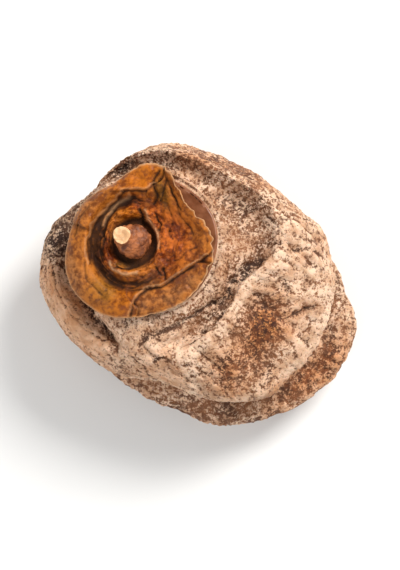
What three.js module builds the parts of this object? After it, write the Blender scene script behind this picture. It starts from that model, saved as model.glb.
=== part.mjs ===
// A dried persimmon, peeled and shrunk whole, lying on its sole with its crown up and tilted to one side.
// Millimetres, +Z up. The origin is the centre of the fruit's bounding box, on the surface that it lies on.
// Four pieces: the folded flesh, the collar of peel left on round the crown, the calyx, and the cut stalk.
import * as THREE from "three";

// Driving dimensions
const GAP = 0.3; // between pieces that touch
const CROWN_PLACE = [-8.5, 7.5, 26.6]; // centre of the collar, where the calyx sits
const CROWN_TILT = 11; // degrees from upright
const CROWN_LEANS_TO = 150; // degrees from +X towards +Y
const COLLAR_RADIUS = 12.8;
const COLLAR_THICKNESS = 0.9;
const COLLAR_DISH = 0.9; // how far its edge stands above its centre
const CALYX_THICKNESS = 0.9;
const STALK_PLACE = [-2.2, 0.1]; // on the crown, from the collar's centre

// Each ring states its radius and height at 18 stations, every 20 degrees from +X towards +Y.
// The flesh is drawn down over these rings, from the seat of the collar to the sole.
const FLESH_CENTRE = [0, 0];
const CROWN_CENTRE = [CROWN_PLACE[0], CROWN_PLACE[1]];
const FLESH_RINGS = [
  {
    name: "moat round the crown",
    centre: CROWN_CENTRE,
    radius: [
      20.3, 17.9, 15.7, 15, 15.1, 14.9, 14.3, 14.1, 14.9,
      16.4, 16.2, 16.5, 17.8, 18.3, 18, 17.3, 16.7, 16.6,
    ],
    height: [
      26.6, 25.8, 25.6, 25, 23.4, 21.6, 21, 20.6, 20.2,
      20.2, 20.8, 22.3, 24.8, 26.8, 27.8, 28.1, 28.1, 27.8,
    ],
  },
  {
    name: "crest of the shoulder",
    centre: CROWN_CENTRE,
    radius: [
      24, 22.6, 19, 17.4, 17.3, 16.4, 15.1, 14.5, 16.2,
      19, 19.4, 19.6, 20.9, 20.9, 21.2, 19.6, 18.6, 18.8,
    ],
    height: [
      28.3, 28.3, 27.8, 26.8, 25.4, 23.8, 22, 19.8, 18.4,
      18.6, 20.6, 22, 23.8, 25.8, 27.2, 28.8, 29.5, 29.2,
    ],
  },
  {
    name: "edge of the shoulder",
    centre: FLESH_CENTRE,
    radius: [
      25.9, 25.4, 24.3, 23.3, 24.4, 27.2, 27, 26.2, 29.5,
      29, 25.8, 23.3, 20.3, 19.4, 21.8, 24.3, 24.9, 25.3,
    ],
    height: [18.9, 19.8, 20, 19, 18, 17, 15.5, 14, 13.5, 14, 15, 16, 17.5, 19.6, 20.9, 20.4, 19.8, 19.4],
  },
  {
    name: "waist",
    centre: FLESH_CENTRE,
    radius: [
      24.5, 25, 24.3, 23.5, 24.5, 26.8, 26.6, 26, 28.7,
      28, 25, 22.4, 19.1, 18.4, 20.4, 22.4, 23.2, 23.7,
    ],
    height: [13.7, 14.8, 15, 14.5, 13.5, 12.5, 11.5, 10.5, 10, 10.5, 11, 12, 13.3, 15.4, 16.4, 15.3, 14, 14.2],
  },
  {
    name: "belly",
    centre: FLESH_CENTRE,
    radius: [
      27.7, 25.2, 23.8, 23, 23.8, 25.5, 25.4, 25, 27.4,
      27.4, 25.4, 24.2, 22.9, 24.2, 27, 28.7, 30.8, 32.3,
    ],
    height: [8.9, 9.4, 9.5, 9.2, 8.6, 8, 7.5, 7, 6.8, 7, 7.4, 7.8, 8.4, 9.6, 10.6, 9.8, 8.8, 9],
  },
  {
    name: "foot",
    centre: FLESH_CENTRE,
    radius: [18, 17, 16, 15.6, 16, 16.6, 17, 17.4, 18.4, 18, 17, 15.4, 15, 16, 17.6, 19, 20, 19.6],
    height: Array(18).fill(0.9),
  },
  { name: "sole", centre: FLESH_CENTRE, radius: Array(18).fill(9), height: Array(18).fill(-1) },
];
const SOLE_DEPTH = -1.2; // before the surface is flattened where it lies
const SOLE_SOFTNESS = 0.8;
const SEAT_RADIUS = COLLAR_RADIUS - 0.6; // the mound's top, which the collar lies on and overhangs
const LIP_RADIUS = COLLAR_RADIUS + 0.4;

// Where the flesh folds in sharply. Each tuck is a path of [degrees, ring], with ring 4 the moat and ring 11
// the bottom, and fades out to its sides by its width.
const TUCKS = [
  {
    name: "under the calyx",
    depth: 2.2,
    width: 1.3,
    path: [[358, 4.0], [350, 4.05], [338, 4.0], [322, 4.0], [308, 4.0], [292, 4.05], [282, 4.3]],
  },
  {
    name: "left of the calyx",
    depth: 4.0,
    width: 0.9,
    path: [[176, 4.0], [200, 3.95], [222, 4.0], [238, 4.05], [247, 4.3], [251, 4.7]],
  },
  {
    name: "waist at the front",
    depth: 2.4,
    width: 1.2,
    path: [[226, 6.9], [250, 7.0], [275, 6.9], [300, 7.05], [325, 6.95], [345, 7.1], [5, 7.2], [22, 7.6]],
  },
  {
    name: "high fold at the back",
    depth: 2.4,
    width: 1.7,
    path: [[38, 6.5], [62, 6.9], [84, 7.4], [98, 8.1]],
  },
  {
    name: "low fold at the back",
    depth: 2.2,
    width: 1.7,
    path: [[30, 8.1], [52, 7.9], [70, 8.2], [82, 8.8]],
  },
  {
    name: "fold at the back left",
    depth: 2.6,
    width: 1.6,
    path: [[108, 6.4], [126, 6.8], [146, 7.4], [168, 7.7]],
  },
  {
    name: "fold at the left",
    depth: 2.6,
    width: 1.6,
    path: [[158, 6.8], [178, 7.0], [200, 7.3], [216, 7.1]],
  },
  {
    name: "second fold at the right",
    depth: 1.2,
    width: 1.0,
    path: [[318, 6.2], [334, 6.25], [352, 6.3], [8, 6.5]],
  },
];
const PLEATS = 11; // tucks that run down the side to the sole
const PLEAT_DEPTH = 1.7;
const PLEAT_WIDTH = 2.2;

// Broad bumps, and dents where the height is below zero.
const SWELLS = [
  { name: "upper end of the dent in the big lobe", at: [332, 5.3], height: -1.9, reach: 4 },
  { name: "lower end of the dent in the big lobe", at: [314, 5.5], height: -1.9, reach: 5 },
  { name: "hollow right of the crown", at: [14, 4.0], height: -1.3, reach: 5 },
  { name: "hollow above the crown", at: [52, 4.1], height: -0.5, reach: 4 },
  { name: "roll left of the crown", at: [222, 5.0], height: 0.8, reach: 6 },
];

const AROUND = 84; // sides of the flesh
const ROWS_BETWEEN_RINGS = [1, 1, 1, 2, 5, 7, 5, 5, 6, 4, 2];

// Ways of drawing a closed skin

// A smooth value at a share of a turn, through values stated at even stations.
function around(values, turn) {
  const n = values.length;
  const place = (((turn % 1) + 1) % 1) * n;
  const station = Math.floor(place);
  const t = place - station;
  const [a, b, c, d] = [-1, 0, 1, 2].map((k) => values[(station + k + n) % n]);
  return b + 0.5 * t * (c - a + t * (2 * a - 5 * b + 4 * c - d + t * (3 * (b - c) + d - a)));
}

function ringPoint(ring, turn) {
  const angle = 2 * Math.PI * turn;
  const r = around(ring.radius, turn);
  return new THREE.Vector3(
    ring.centre[0] + r * Math.cos(angle),
    ring.centre[1] + r * Math.sin(angle),
    around(ring.height, turn),
  );
}

// The ring numbers of every row, with the stated count of rows between each two rings, both poles left out.
function rowPlaces(counts) {
  const places = [];
  counts.forEach((count, ring) => {
    for (let k = 0; k < count; k++) places.push(ring + k / count);
  });
  return places.slice(1);
}

// A closed surface from rows of points that run from one pole to the other, each going round from +X to +Y.
function closedSkin(rows, firstPole, lastPole) {
  const sides = rows[0].length;
  const points = [firstPole, ...rows.flat(), lastPole];
  const index = [];
  const at = (row, side) => 1 + row * sides + (side % sides);
  for (let side = 0; side < sides; side++) {
    index.push(0, at(0, side), at(0, side + 1));
    for (let row = 0; row + 1 < rows.length; row++) {
      index.push(at(row, side), at(row + 1, side), at(row + 1, side + 1));
      index.push(at(row, side), at(row + 1, side + 1), at(row, side + 1));
    }
    index.push(at(rows.length - 1, side), points.length - 1, at(rows.length - 1, side + 1));
  }
  const skin = new THREE.BufferGeometry().setFromPoints(points);
  skin.setIndex(index);
  skin.computeVertexNormals();
  return skin;
}

function turns(sides) {
  return Array.from({ length: sides }, (_, side) => side / sides);
}

// The crown's own frame: its origin is the middle of the collar's upper face, and its +Z is the stalk's axis
const crown = new THREE.Group();
crown.position.set(...CROWN_PLACE);
const lean = THREE.MathUtils.degToRad(CROWN_LEANS_TO);
crown.quaternion.setFromAxisAngle(
  new THREE.Vector3(-Math.sin(lean), Math.cos(lean), 0),
  THREE.MathUtils.degToRad(CROWN_TILT),
);
crown.updateMatrixWorld(true);

function onCrown(radius, turn, lift) {
  const angle = 2 * Math.PI * turn;
  return new THREE.Vector3(radius * Math.cos(angle), radius * Math.sin(angle), lift);
}

function collarLift(radius) {
  return COLLAR_DISH * (radius / COLLAR_RADIUS) ** 2;
}

// Flesh
const seatLift = (radius) => collarLift(radius) - COLLAR_THICKNESS - GAP;
const SEAT_RINGS = [
  [SEAT_RADIUS / 2, seatLift(SEAT_RADIUS / 2)],
  [SEAT_RADIUS, seatLift(SEAT_RADIUS)],
  [LIP_RADIUS, seatLift(LIP_RADIUS) - 0.5],
];
const LIP_RING = SEAT_RINGS.length;

function meridian(turn) {
  const seat = SEAT_RINGS.map(([radius, lift]) => crown.localToWorld(onCrown(radius, turn, lift)));
  const top = crown.localToWorld(new THREE.Vector3(0, 0, seatLift(0)));
  const side = FLESH_RINGS.map((ring) => ringPoint(ring, turn));
  const bottom = new THREE.Vector3(...FLESH_CENTRE, SOLE_DEPTH);
  return new THREE.CatmullRomCurve3([top, ...seat, ...side, bottom], false, "centripetal");
}
const LAST_RING = SEAT_RINGS.length + FLESH_RINGS.length + 1;

function onFlesh([degrees, ring]) {
  return meridian(degrees / 360).getPoint(ring / LAST_RING);
}

// A small repeatable draw between -1 and 1.
function draw(seed) {
  const wave = Math.sin(seed * 12.9898) * 43758.5453;
  return 2 * (wave - Math.floor(wave)) - 1;
}

function pleatTucks() {
  return Array.from({ length: PLEATS }, (_, k) => {
    const start = (360 / PLEATS) * (k + 0.3 * draw(k + 1));
    const sway = 9 * draw(k + 21);
    const top = (start > 225 || start < 20 ? 8.5 : 7.8) + 0.4 * draw(k + 41);
    return {
      depth: PLEAT_DEPTH * (1 + 0.4 * draw(k + 61)),
      width: PLEAT_WIDTH,
      path: [[start, top], [start + sway * 0.7, (top + 9) / 2], [start + sway, 9], [start + sway * 0.5, 10]],
    };
  });
}

// The path of a tuck as points about a millimetre apart, lying on the flesh.
function tuckLine(tuck) {
  const guide = new THREE.CatmullRomCurve3(
    unwrapped(tuck.path).map(([degrees, ring]) => new THREE.Vector3(degrees, ring, 0)),
  );
  return guide.getPoints(tuck.path.length * 6).map((p) => onFlesh([p.x, p.y]));
}

// Degrees that go on past 360 in place of jumping back.
function unwrapped(path) {
  let last = path[0][0];
  return path.map(([degrees, ring]) => {
    while (degrees - last > 180) degrees -= 360;
    while (degrees - last < -180) degrees += 360;
    last = degrees;
    return [degrees, ring];
  });
}

const nearest = new THREE.Vector3();
const stretch = new THREE.Line3();
function distanceTo(line, point) {
  let least = Infinity;
  for (let k = 0; k + 1 < line.length; k++) {
    stretch.set(line[k], line[k + 1]).closestPointToPoint(point, true, nearest);
    least = Math.min(least, nearest.distanceTo(point));
  }
  return least;
}

function rowNormals(rows, top, bottom) {
  const sides = rows[0].length;
  const along = new THREE.Vector3();
  const across = new THREE.Vector3();
  return rows.map((row, r) =>
    row.map((_, side) => {
      const above = r > 0 ? rows[r - 1][side] : top;
      const below = r + 1 < rows.length ? rows[r + 1][side] : bottom;
      along.subVectors(below, above);
      across.subVectors(row[(side + 1) % sides], row[(side + sides - 1) % sides]);
      return new THREE.Vector3().crossVectors(along, across).normalize();
    }),
  );
}

// Presses whatever would sink below the surface flat, with a soft edge.
function pressedFlat(height) {
  if (height <= -SOLE_SOFTNESS) return 0;
  if (height >= SOLE_SOFTNESS) return height;
  return (height + SOLE_SOFTNESS) ** 2 / (4 * SOLE_SOFTNESS);
}

function makeFlesh() {
  const places = rowPlaces(ROWS_BETWEEN_RINGS);
  const meridians = turns(AROUND).map(meridian);
  const rows = places.map((ring) => meridians.map((m) => m.getPoint(ring / LAST_RING)));
  const top = meridians[0].getPoint(0);
  const bottom = meridians[0].getPoint(1);
  const normals = rowNormals(rows, top, bottom);
  const tucks = [...TUCKS, ...pleatTucks()].map((tuck) => ({ ...tuck, line: tuckLine(tuck) }));
  const swells = SWELLS.map((swell) => ({ ...swell, point: onFlesh(swell.at) }));
  const folded = rows.map((row, r) => {
    const share = THREE.MathUtils.smoothstep(places[r], LIP_RING, LIP_RING + 0.6);
    return row.map((point, side) => {
      let rise = 0;
      for (const tuck of tucks) {
        const away = distanceTo(tuck.line, point);
        rise -= tuck.depth * Math.exp(-Math.hypot(away, 0.3) / tuck.width);
      }
      for (const swell of swells) {
        rise += swell.height * Math.exp(-((swell.point.distanceTo(point) / swell.reach) ** 2));
      }
      const moved = point.clone().addScaledVector(normals[r][side], rise * share);
      moved.z = pressedFlat(moved.z);
      return moved;
    });
  });
  bottom.z = pressedFlat(bottom.z);
  return closedSkin(folded, top, bottom);
}

// Collar of peel: a thin dished disc with a round edge
function makeCollar() {
  const rows = [];
  const topShares = [0.25, 0.5, 0.75, 0.92, 1];
  const edge = COLLAR_THICKNESS * 0.35;
  const row = (share, drop, inset) =>
    turns(60).map((turn) => {
      const wave = 1 + 0.012 * Math.sin(2 * Math.PI * 3 * turn + 1) + 0.01 * Math.sin(2 * Math.PI * 5 * turn);
      const radius = (COLLAR_RADIUS * wave - 0.3) * share - inset;
      return onCrown(radius, turn, collarLift(radius) - drop);
    });
  topShares.forEach((share) => rows.push(row(share, 0, share === 1 ? edge : 0)));
  rows.push(row(1, edge, 0));
  rows.push(row(1, COLLAR_THICKNESS - edge, 0));
  topShares
    .slice()
    .reverse()
    .forEach((share) => rows.push(row(share, COLLAR_THICKNESS, share === 1 ? edge : 0)));
  return closedSkin(rows, new THREE.Vector3(0, 0, 0), new THREE.Vector3(0, 0, -COLLAR_THICKNESS));
}

// Calyx: a shallow cup of four sepals grown together, drawn out from the stalk over these rings
const CALYX_RINGS = [
  {
    name: "groove round the stalk",
    centre: STALK_PLACE,
    radius: [3.5, 3.5, 3.7, 3.8, 3.8, 3.8, 3.8, 3.8, 3.8, 3.8, 3.7, 3.6],
    height: Array(12).fill(1.25),
  },
  {
    name: "inner ridge",
    centre: STALK_PLACE,
    radius: [4.7, 4.7, 5.3, 5.6, 5.7, 5.7, 5.5, 5.7, 5.7, 5.7, 5.2, 4.9],
    height: [2.9, 3.1, 2.6, 3.3, 3.2, 2.5, 2.2, 3.0, 3.3, 2.7, 2.4, 2.8],
  },
  {
    name: "ditch inside the sepals",
    centre: STALK_PLACE,
    radius: [7.6, 7.4, 7.4, 7.6, 7.8, 7.8, 7.9, 8.0, 8.0, 7.8, 7.4, 7.4],
    height: [3.1, 3.3, 2.8, 1.7, 1.3, 1.25, 1.25, 1.3, 1.4, 1.6, 2.1, 2.6],
  },
  {
    name: "inner wall of the sepals",
    centre: STALK_PLACE,
    radius: [11, 9.6, 10.2, 10, 9.3, 9.1, 9.2, 9.6, 10, 10, 10.2, 10.8],
    height: [4.4, 4.9, 4.3, 3.8, 3.8, 3.8, 3.7, 3.5, 3.0, 2.7, 2.9, 3.6],
  },
  {
    name: "crest of the sepals",
    centre: [0, 0],
    radius: [11.2, 9.4, 10.8, 12.3, 11.6, 12.6, 13.2, 14.2, 13.4, 11.7, 11.4, 11.5],
    height: [5.2, 5.9, 5.4, 4.3, 4.0, 3.8, 3.6, 3.4, 3.0, 2.8, 3.0, 4.0],
  },
  {
    name: "rim",
    centre: [0, 0],
    radius: [
      12.5, 11.5, 10.3, 10.3, 11.6, 13.8, 14.4, 13.1, 12.4, 13.1, 13.9, 14.3,
      14.8, 15.7, 16.1, 15.8, 15.2, 14.2, 13.2, 12.8, 12.8, 12.8, 12.8, 12.8,
    ],
    height: [
      5.6, 6.2, 6.6, 6.4, 6.0, 5.4, 4.4, 3.6, 3.1, 2.9, 2.7, 2.5,
      2.3, 2.1, 2.0, 1.9, 1.9, 1.9, 2.0, 2.2, 2.6, 3.2, 4.0, 4.9,
    ],
  },
];
const SEPAL_EDGES = [75, 165, 262, 340]; // degrees where one sepal's edge lies over the next
const SEPAL_STEP = 1.1;

// How far a sepal stands over the next: it climbs across each sepal and falls off at its edge.
function sepalStep(turn) {
  const degrees = ((turn * 360) % 360 + 360) % 360;
  const starts = SEPAL_EDGES.filter((edge) => edge <= degrees);
  const start = starts.length ? starts[starts.length - 1] : SEPAL_EDGES[SEPAL_EDGES.length - 1] - 360;
  const end = SEPAL_EDGES.find((edge) => edge > degrees) ?? SEPAL_EDGES[0] + 360;
  return (degrees - start) / (end - start) - 0.5;
}

function makeCalyx() {
  const sides = 72;
  const counts = [1, 2, 2, 2, 2, 2];
  const places = [...rowPlaces(counts), CALYX_RINGS.length];
  const curves = turns(sides).map((turn) => {
    const rings = CALYX_RINGS.map((ring) => ringPoint(ring, turn));
    const middle = new THREE.Vector3(...STALK_PLACE, CALYX_RINGS[0].height[0]);
    return new THREE.CatmullRomCurve3([middle, ...rings], false, "centripetal");
  });
  const upper = places.map((ring) =>
    curves.map((curve, side) => {
      const point = curve.getPoint(ring / CALYX_RINGS.length);
      const outer = THREE.MathUtils.smoothstep(ring, 3, 5);
      point.z += SEPAL_STEP * outer * sepalStep(side / sides);
      return point;
    }),
  );
  const top = curves[0].getPoint(0);
  const beyond = upper[upper.length - 1].map((p, side) => {
    const before = upper[upper.length - 2][side];
    return p.clone().multiplyScalar(2).sub(before);
  });
  const normals = rowNormals([...upper, beyond], top, top).slice(0, upper.length);
  const lower = upper.map((row, r) =>
    row.map((point, side) => {
      const inward = normals[r][side].clone().add(new THREE.Vector3(0, 0, 1.5)).normalize();
      const under = point.clone().addScaledVector(inward, -CALYX_THICKNESS);
      const rest = collarLift(Math.hypot(under.x, under.y)) + GAP;
      const flat = 1 - THREE.MathUtils.smoothstep(places[r], 3, 4.4);
      under.z = Math.max(rest, THREE.MathUtils.lerp(under.z, rest, flat));
      return under;
    }),
  );
  const foot = new THREE.Vector3(...STALK_PLACE, GAP);
  return closedSkin([...upper, ...lower.reverse()], top, foot);
}

// Stalk: a short knob that leans, cut off across its tip
const STALK_LEAN = [-1.9, 1.0];
const STALK_RINGS = [
  { lift: 0, radius: 2.7 },
  { lift: 0.7, radius: 3.1 },
  { lift: 1.7, radius: 3.15 },
  { lift: 2.6, radius: 2.7 },
  { lift: 3.2, radius: 2.1 },
  { lift: 3.6, radius: 1.75 },
  { lift: 4.1, radius: 1.6 },
];
function makeStalk() {
  const base = CALYX_RINGS[0].height[0] + GAP;
  const height = STALK_RINGS[STALK_RINGS.length - 1].lift;
  const centreAt = (lift) => {
    const share = (lift / height) ** 1.8;
    return [STALK_PLACE[0] + STALK_LEAN[0] * share, STALK_PLACE[1] + STALK_LEAN[1] * share];
  };
  const rows = STALK_RINGS.slice()
    .reverse()
    .map(({ lift, radius }) => {
      const [x, y] = centreAt(lift);
      return turns(20).map((turn) => {
        const p = onCrown(radius * (1 + 0.04 * Math.sin(6 * Math.PI * turn)), turn, base + lift);
        return p.add(new THREE.Vector3(x, y, 0));
      });
    });
  const tip = new THREE.Vector3(...centreAt(height), base + height);
  return closedSkin(rows, tip, new THREE.Vector3(...STALK_PLACE, base));
}

// The pieces
function piece(name, geometry, colour, roughness) {
  const material = new THREE.MeshStandardMaterial({ color: colour, roughness, metalness: 0 });
  const mesh = new THREE.Mesh(geometry, material);
  mesh.name = name;
  return mesh;
}

const fruit = new THREE.Group();
fruit.add(piece("flesh", makeFlesh(), 0xb58a66, 0.85));
crown.add(piece("skin_collar", makeCollar(), 0x7a3c20, 0.4));
crown.add(piece("calyx", makeCalyx(), 0xa8621e, 0.55));
crown.add(piece("stem_stub", makeStalk(), 0x8a5a38, 0.7));
fruit.add(crown);

// Puts the middle of the fruit's box over the origin.
const box = new THREE.Box3().setFromObject(fruit, true);
const middle = box.getCenter(new THREE.Vector3());
fruit.position.set(-middle.x, -middle.y, 0);
const part = new THREE.Group();
part.add(fruit);

export default part;
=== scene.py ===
"""A dried persimmon: folded flesh under a sugar bloom, a collar of peel, a calyx and a cut stalk."""

import math

import bpy
import numpy as np
from mathutils import Matrix, Vector, noise


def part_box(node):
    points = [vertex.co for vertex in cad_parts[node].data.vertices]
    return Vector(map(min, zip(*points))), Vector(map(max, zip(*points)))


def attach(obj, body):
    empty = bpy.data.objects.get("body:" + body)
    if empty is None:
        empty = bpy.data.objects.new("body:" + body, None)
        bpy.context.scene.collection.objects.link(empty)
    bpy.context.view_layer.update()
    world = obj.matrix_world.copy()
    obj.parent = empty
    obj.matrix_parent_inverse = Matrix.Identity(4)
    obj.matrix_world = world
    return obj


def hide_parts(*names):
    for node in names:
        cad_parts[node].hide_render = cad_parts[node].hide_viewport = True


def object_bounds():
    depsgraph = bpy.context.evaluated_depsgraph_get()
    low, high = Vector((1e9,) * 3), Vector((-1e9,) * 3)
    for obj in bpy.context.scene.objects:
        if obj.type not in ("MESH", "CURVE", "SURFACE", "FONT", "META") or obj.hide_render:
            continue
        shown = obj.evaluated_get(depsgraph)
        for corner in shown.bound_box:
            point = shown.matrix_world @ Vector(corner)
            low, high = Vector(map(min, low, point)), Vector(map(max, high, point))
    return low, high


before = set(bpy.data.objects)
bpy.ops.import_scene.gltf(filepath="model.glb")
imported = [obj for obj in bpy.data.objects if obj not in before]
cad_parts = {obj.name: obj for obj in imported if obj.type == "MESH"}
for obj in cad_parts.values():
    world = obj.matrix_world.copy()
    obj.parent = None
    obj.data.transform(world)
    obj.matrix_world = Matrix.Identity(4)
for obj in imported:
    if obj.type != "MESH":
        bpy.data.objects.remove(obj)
cad_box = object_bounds()

# Driving dimensions, in millimetres: those of the solids
MM = 0.001
TAU = 2 * math.pi
GAP = 0.3
CROWN_PLACE = np.array([-8.5, 7.5, 26.6])
CROWN_TILT = math.radians(11)
CROWN_LEANS_TO = math.radians(150)
COLLAR_RADIUS = 12.8
COLLAR_THICKNESS = 0.9
COLLAR_DISH = 0.9
CALYX_THICKNESS = 0.9
STALK_PLACE = (-2.2, 0.1)
FLESH_CENTRE = (0, 0)
CROWN_CENTRE = tuple(CROWN_PLACE[:2])

# Each ring states its centre, and its radius and height every 20 degrees from +X towards +Y.
FLESH_RINGS = [
    {  # moat round the crown
        "centre": CROWN_CENTRE,
        "radius": [
            *[20.3, 17.9, 15.7, 15, 15.1, 14.9, 14.3, 14.1, 14.9],
            *[16.4, 16.2, 16.5, 17.8, 18.3, 18, 17.3, 16.7, 16.6],
        ],
        "height": [
            *[26.6, 25.8, 25.6, 25, 23.4, 21.6, 21, 20.6, 20.2],
            *[20.2, 20.8, 22.3, 24.8, 26.8, 27.8, 28.1, 28.1, 27.8],
        ],
    },
    {  # crest of the shoulder
        "centre": CROWN_CENTRE,
        "radius": [
            *[24, 22.6, 19, 17.4, 17.3, 16.4, 15.1, 14.5, 16.2],
            *[19, 19.4, 19.6, 20.9, 20.9, 21.2, 19.6, 18.6, 18.8],
        ],
        "height": [
            *[28.3, 28.3, 27.8, 26.8, 25.4, 23.8, 22, 19.8, 18.4],
            *[18.6, 20.6, 22, 23.8, 25.8, 27.2, 28.8, 29.5, 29.2],
        ],
    },
    {  # edge of the shoulder
        "centre": FLESH_CENTRE,
        "radius": [
            *[25.9, 25.4, 24.3, 23.3, 24.4, 27.2, 27, 26.2, 29.5],
            *[29, 25.8, 23.3, 20.3, 19.4, 21.8, 24.3, 24.9, 25.3],
        ],
        "height": [
            *[18.9, 19.8, 20, 19, 18, 17, 15.5, 14, 13.5],
            *[14, 15, 16, 17.5, 19.6, 20.9, 20.4, 19.8, 19.4],
        ],
    },
    {  # waist
        "centre": FLESH_CENTRE,
        "radius": [
            *[24.5, 25, 24.3, 23.5, 24.5, 26.8, 26.6, 26, 28.7],
            *[28, 25, 22.4, 19.1, 18.4, 20.4, 22.4, 23.2, 23.7],
        ],
        "height": [
            *[13.7, 14.8, 15, 14.5, 13.5, 12.5, 11.5, 10.5, 10],
            *[10.5, 11, 12, 13.3, 15.4, 16.4, 15.3, 14, 14.2],
        ],
    },
    {  # belly
        "centre": FLESH_CENTRE,
        "radius": [
            *[27.7, 25.2, 23.8, 23, 23.8, 25.5, 25.4, 25, 27.4],
            *[27.4, 25.4, 24.2, 22.9, 24.2, 27, 28.7, 30.8, 32.3],
        ],
        "height": [8.9, 9.4, 9.5, 9.2, 8.6, 8, 7.5, 7, 6.8, 7, 7.4, 7.8, 8.4, 9.6, 10.6, 9.8, 8.8, 9],
    },
    {  # foot
        "centre": FLESH_CENTRE,
        "radius": [
            *[18, 17, 16, 15.6, 16, 16.6, 17, 17.4, 18.4],
            *[18, 17, 15.4, 15, 16, 17.6, 19, 20, 19.6],
        ],
        "height": [0.9] * 18,
    },
    {"centre": FLESH_CENTRE, "radius": [9] * 18, "height": [-1] * 18},  # sole
]
SOLE_DEPTH = -1.2
SOLE_SOFTNESS = 0.8
SEAT_RADIUS = COLLAR_RADIUS - 0.6
LIP_RADIUS = COLLAR_RADIUS + 0.4
LIP_RING = 3

# Folds of the flesh: depth, width, and a path of (degrees, ring). The rings count down from the middle of
# the crown: lip 3, moat 4, crest 5, edge of the shoulder 6, waist 7, belly 8 and foot 9.
TUCKS = [
    (2.2, 1.3, [(358, 4.0), (350, 4.05), (338, 4.0), (322, 4.0), (308, 4.0), (292, 4.05), (282, 4.3)]),
    (4.0, 0.9, [(176, 4.0), (200, 3.95), (222, 4.0), (238, 4.05), (247, 4.3), (251, 4.7)]),
    (
        2.4,
        1.2,
        [(226, 6.9), (250, 7.0), (275, 6.9), (300, 7.05), (325, 6.95), (345, 7.1), (5, 7.2), (22, 7.6)],
    ),
    (2.4, 1.7, [(38, 6.5), (62, 6.9), (84, 7.4), (98, 8.1)]),
    (2.2, 1.7, [(30, 8.1), (52, 7.9), (70, 8.2), (82, 8.8)]),
    (2.6, 1.6, [(108, 6.4), (126, 6.8), (146, 7.4), (168, 7.7)]),
    (2.6, 1.6, [(158, 6.8), (178, 7.0), (200, 7.3), (216, 7.1)]),
    (1.2, 1.0, [(318, 6.2), (334, 6.25), (352, 6.3), (8, 6.5)]),
]
PLEATS = 11
PLEAT_DEPTH = 1.7
PLEAT_WIDTH = 2.2
SWELLS = [  # height, reach, and the (degrees, ring) of the middle
    (-1.9, 4, (332, 5.3)),
    (-1.9, 5, (314, 5.5)),
    (-1.3, 5, (14, 4.0)),
    (-0.5, 4, (52, 4.1)),
    (0.8, 6, (222, 5.0)),
]
LOBE_SWELLS = [  # the same, for the fuller underside of the big lobe
    (1.2, 4.4, (350, 8.7)),
    (1.6, 4.4, (328, 8.7)),
    (1.2, 4.2, (308, 8.6)),
]
FRONT = [1, 0.6, 0, 0, 0, 0, 0, 0, 0.3, 1, 1, 1]  # every 30 degrees: where the shoulder overhangs

# Sides, and rows from each ring to the next, of the solid and of the finer piece
SOLID_GRID = 84, [1, 1, 1, 2, 5, 7, 5, 5, 6, 4, 2]
FINE_GRID = 400, [1, 2, 3, 20, 34, 44, 26, 26, 34, 18, 5]


# Curves and noise


def around(values, turn):
    """Smooth values at shares of a turn, through values stated at even stations."""
    v = np.asarray(values, float)
    n = len(v)
    place = np.mod(turn, 1.0) * n
    station = np.floor(place).astype(int)
    t = place - station
    a, b, c, d = (v[(station + k) % n] for k in (-1, 0, 1, 2))
    return b + 0.5 * t * (c - a + t * (2 * a - 5 * b + 4 * c - d + t * (3 * (b - c) + d - a)))


def ring_points(ring, turn):
    r = around(ring["radius"], turn)
    x = ring["centre"][0] + r * np.cos(TAU * turn)
    y = ring["centre"][1] + r * np.sin(TAU * turn)
    return np.stack([x, y, around(ring["height"], turn)], axis=-1)


def through(points, places):
    """Points at each ring number on centripetal curves through points, which is (rings, curves, 3)."""
    ends = 2 * points[0] - points[1], 2 * points[-1] - points[-2]
    p = np.concatenate([ends[0][None], points, ends[1][None]])
    k = np.minimum(np.floor(places).astype(int), len(points) - 2)
    w = (places - k)[:, None, None]
    p0, p1, p2, p3 = (p[k + i] for i in range(4))
    pairs = (p0, p1), (p1, p2), (p2, p3)
    d0, d1, d2 = (np.linalg.norm(b - a, axis=-1, keepdims=True) ** 0.5 for a, b in pairs)
    t1 = ((p1 - p0) / d0 - (p2 - p0) / (d0 + d1) + (p2 - p1) / d1) * d1
    t2 = ((p2 - p1) / d1 - (p3 - p1) / (d1 + d2) + (p3 - p2) / d2) * d1
    return p1 + w * (t1 + w * (3 * (p2 - p1) - 2 * t1 - t2 + w * (2 * (p1 - p2) + t1 + t2)))


def smoothstep(x, low, high):
    t = np.clip((x - low) / (high - low), 0, 1)
    return t * t * (3 - 2 * t)


def bell(x, width):
    """1 where x is 0, and 0 well beyond that width on either side."""
    return np.exp(-((x / width) ** 2))


def draw(seed):
    """A small repeatable draw between -1 and 1."""
    wave = math.sin(seed * 12.9898) * 43758.5453
    return 2 * (wave - math.floor(wave)) - 1


def cloud(points, size, seed=0.0, octaves=2):
    """Smooth noise between about -1 and 1 at each point, with lumps of that size."""
    flat = (points.reshape(-1, 3) / size + seed * 7.3).tolist()
    values = [noise.fractal(p, 1.0, 2.0, octaves) for p in flat]
    return np.array(values).reshape(points.shape[:-1])


def crease(points, size, seed=0.0, octaves=2):
    """0 on thin lines and up to 1 between them."""
    return np.minimum(1, 2.4 * np.abs(cloud(points, size, seed, octaves)))


def wander(points, far, size, seed):
    """The points, each moved about that far by smooth noise."""
    return points + far * np.stack([cloud(points, size, seed + k) for k in range(3)], axis=-1)


def wrapped(angle, radius, along):
    """Points round a cylinder. Noise that is read there runs round the fruit, or away from its middle."""
    return np.stack([radius * np.cos(angle), radius * np.sin(angle), along], axis=-1)


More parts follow.
